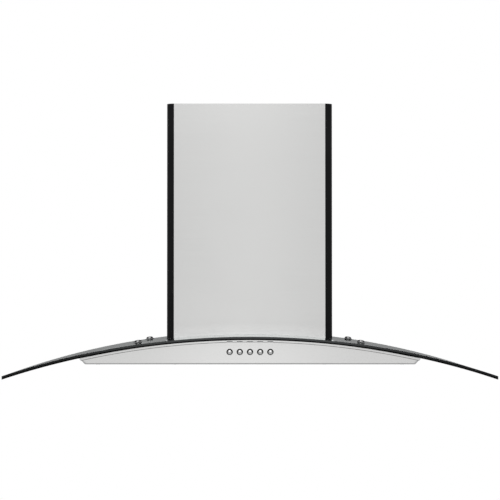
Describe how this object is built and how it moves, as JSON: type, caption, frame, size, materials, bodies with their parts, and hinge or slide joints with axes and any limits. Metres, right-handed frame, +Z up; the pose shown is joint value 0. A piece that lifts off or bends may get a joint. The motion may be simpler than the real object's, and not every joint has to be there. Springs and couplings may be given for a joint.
{
  "type": "wall mount range hood",
  "caption": "Wall hood with a steel body under a curved glass canopy, push buttons, lamps, baffle filters, a blower and a telescoping chimney cover.",
  "frame": {"origin": "centre of the wall plate's four screw holes, on the wall's plane", "axes": "+Z up, +X to the right as seen from the front, +Y into the wall, so the hood reaches from the wall towards -Y"},
  "size_m": [0.9, 0.5, 0.5123],
  "materials": {
    "stainless": "brushed satin",
    "corner_black": "satin black",
    "canopy_glass": "clear, with dark polished edges",
    "lamp_glass": "frosted",
    "seal_rubber": "matt black",
    "clear_rubber": "translucent grey",
    "chrome": "polished",
    "button_metal": "satin",
    "indicator_black": "gloss, unlit",
    "zinc_sheet": "zinc plated sheet",
    "filter_steel": "brushed",
    "screw_steel": "bright",
    "shaft_steel": "ground",
    "black_plastic": "moulded, matt black",
    "grey_plastic": "moulded, matt grey",
    "white_plastic": "moulded, off-white",
    "motor_metal": "cast and tumbled",
    "flap_aluminium": "plain sheet"
  },
  "bodies": {
    "hood": {"glass_canopy": "canopy_glass", "glass_gasket": "seal_rubber", "glass_screws": "chrome", "glass_grommets": "clear_rubber", "canopy_shell": "stainless", "canopy_top_plate": "stainless", "indicator_lenses": "indicator_black", "bottom_frame": "stainless", "frame_screws": "screw_steel", "button_bezels": "chrome", "switch_block": "black_plastic", "lower_cover_front": "stainless", "lower_cover_side_left": "stainless", "lower_cover_side_right": "stainless", "corner_trim_left": "corner_black", "corner_trim_right": "corner_black", "lower_cover_screws": "screw_steel", "cover_bracket_left": "zinc_sheet", "cover_bracket_right": "zinc_sheet", "blower_housing": "zinc_sheet", "blower_screws": "screw_steel", "blower_scroll": "zinc_sheet", "motor": "motor_metal", "motor_bracket": "zinc_sheet", "outlet_collar": "grey_plastic", "damper_spindle": "shaft_steel", "junction_box": "grey_plastic", "junction_box_lid": "grey_plastic", "cable_gland": "black_plastic", "capacitor": "white_plastic", "capacitor_clip": "zinc_sheet", "wall_plate": "zinc_sheet", "hanger_rail": "zinc_sheet", "lamp_bezel_left": "chrome", "lamp_bezel_right": "chrome", "lamp_lens_left": "lamp_glass", "lamp_lens_right": "lamp_glass", "lamp_housing_left": "motor_metal", "lamp_housing_right": "motor_metal"},
    "power_button": {"power_button": "button_metal"},
    "low_speed_button": {"low_speed_button": "button_metal"},
    "medium_speed_button": {"medium_speed_button": "button_metal"},
    "high_speed_button": {"high_speed_button": "button_metal"},
    "light_button": {"light_button": "button_metal"},
    "upper_chimney": {"upper_cover": "stainless", "upper_bracket": "zinc_sheet", "upper_cover_screws": "screw_steel"},
    "filter_left": {"filter_frame_left": "filter_steel", "filter_baffles_left": "filter_steel"},
    "latch_left": {"filter_latch_left": "filter_steel"},
    "damper_left": {"damper_flap_left": "flap_aluminium"},
    "filter_right": {"filter_frame_right": "filter_steel", "filter_baffles_right": "filter_steel"},
    "latch_right": {"filter_latch_right": "filter_steel"},
    "damper_right": {"damper_flap_right": "flap_aluminium"},
    "fan": {"fan_wheel": "black_plastic", "fan_shaft": "shaft_steel"}
  },
  "joints": [
    {"name": "power_button_press", "type": "slide", "parent": "hood", "child": "power_button", "axis": [0, 1, 0], "range_m": [0, 0.002], "stiffness_N_per_m": 400, "springref_m": -0.002},
    {"name": "low_speed_button_press", "type": "slide", "parent": "hood", "child": "low_speed_button", "axis": [0, 1, 0], "range_m": [0, 0.002], "stiffness_N_per_m": 400, "springref_m": -0.002},
    {"name": "medium_speed_button_press", "type": "slide", "parent": "hood", "child": "medium_speed_button", "axis": [0, 1, 0], "range_m": [0, 0.002], "stiffness_N_per_m": 400, "springref_m": -0.002},
    {"name": "high_speed_button_press", "type": "slide", "parent": "hood", "child": "high_speed_button", "axis": [0, 1, 0], "range_m": [0, 0.002], "stiffness_N_per_m": 400, "springref_m": -0.002},
    {"name": "light_button_press", "type": "slide", "parent": "hood", "child": "light_button", "axis": [0, 1, 0], "range_m": [0, 0.002], "stiffness_N_per_m": 400, "springref_m": -0.002},
    {"name": "chimney_extension", "type": "slide", "parent": "hood", "child": "upper_chimney", "axis": [0, 0, 1], "range_m": [0, 0.36]},
    {"name": "filter_left_drop", "type": "hinge", "parent": "hood", "child": "filter_left", "pos_m": [-0.1345, -0.0295, -0.155], "axis": [1, 0, 0], "range_deg": [0, 60]},
    {"name": "latch_left_slide", "type": "slide", "parent": "filter_left", "child": "latch_left", "axis": [0, 1, 0], "range_m": [0, 0.005], "stiffness_N_per_m": 200, "springref_m": -0.002},
    {"name": "damper_left_swing", "type": "hinge", "parent": "hood", "child": "damper_left", "pos_m": [0, -0.124, 0.114], "axis": [0, 1, 0], "range_deg": [0, 70]},
    {"name": "filter_right_drop", "type": "hinge", "parent": "hood", "child": "filter_right", "pos_m": [0.1345, -0.0295, -0.155], "axis": [1, 0, 0], "range_deg": [0, 60]},
    {"name": "latch_right_slide", "type": "slide", "parent": "filter_right", "child": "latch_right", "axis": [0, 1, 0], "range_m": [0, 0.005], "stiffness_N_per_m": 200, "springref_m": -0.002},
    {"name": "damper_right_swing", "type": "hinge", "parent": "hood", "child": "damper_right", "pos_m": [0, -0.124, 0.114], "axis": [0, -1, 0], "range_deg": [0, 70]},
    {"name": "fan_spin", "type": "hinge", "parent": "hood", "child": "fan", "pos_m": [0, -0.175, -0.009], "axis": [1, 0, 0], "continuous": true}
  ]
}
